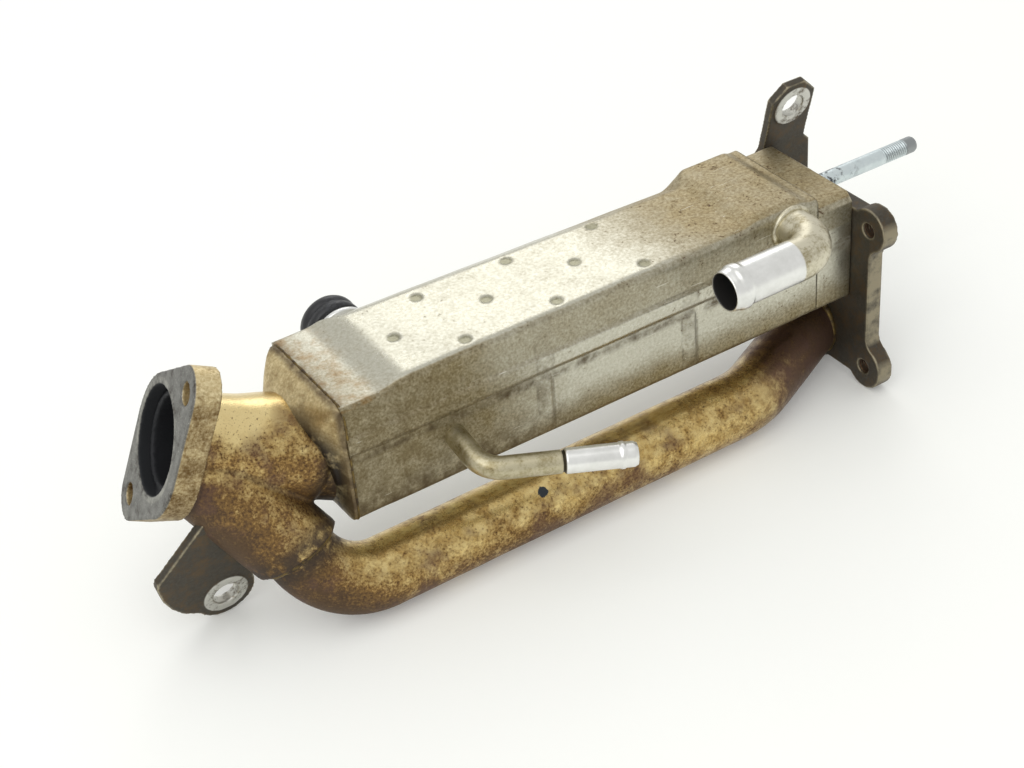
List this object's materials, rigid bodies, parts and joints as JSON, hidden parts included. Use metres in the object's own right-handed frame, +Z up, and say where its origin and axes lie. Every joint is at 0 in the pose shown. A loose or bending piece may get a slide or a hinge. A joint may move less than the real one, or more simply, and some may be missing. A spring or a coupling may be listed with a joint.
{
  "type": "exhaust gas recirculation cooler",
  "caption": "Exhaust gas cooler: flat-sided brazed steel housing round flat gas tubes, with an angled two-bolt inlet, a bypass tube below, coolant pipes, brackets and a studded outlet flange.",
  "frame": {"origin": "centre of the cooled gas port on the mating face of the outlet flange", "axes": "+X out of the outlet flange along the housing, +Y from the pipe side to the back, +Z up from the bypass tube to the housing top"},
  "size_m": [0.4222, 0.1266, 0.1265],
  "materials": {
    "shell_steel": "dull stainless sheet, dirty and rust specked",
    "cap_steel": "stainless sheet, browned by heat",
    "inner_steel": "thin stainless sheet, sooty",
    "heat_tinted_steel": "golden to purple heat tint with dark scale",
    "flange_steel": "machined grey face, golden rim",
    "dark_steel": "dark browned sheet with worn seats",
    "pipe_steel": "stainless tube, bright at the hose ends",
    "zinc_plated_steel": "zinc plated thread",
    "black_rubber": "ribbed seal"
  },
  "bodies": {
    "root": {"upper_shell": "shell_steel", "lower_shell": "shell_steel", "inlet_end_cap": "cap_steel", "outlet_end_cap": "cap_steel", "inlet_tube_plate": "inner_steel", "outlet_tube_plate": "inner_steel", "gas_tube_1": "inner_steel", "gas_tube_2": "inner_steel", "gas_tube_3": "inner_steel", "gas_tube_4": "inner_steel", "gas_tube_5": "inner_steel", "turbulator_1": "inner_steel", "turbulator_2": "inner_steel", "turbulator_3": "inner_steel", "turbulator_4": "inner_steel", "turbulator_5": "inner_steel", "inlet_manifold": "heat_tinted_steel", "inlet_flange": "flange_steel", "bypass_tube": "heat_tinted_steel", "outlet_flange": "dark_steel", "flange_stud": "zinc_plated_steel", "upper_bracket": "dark_steel", "lower_bracket": "dark_steel", "coolant_elbow": "pipe_steel", "vent_pipe": "pipe_steel", "rear_stub": "pipe_steel", "stub_seal": "black_rubber"}
  },
  "joints": []
}
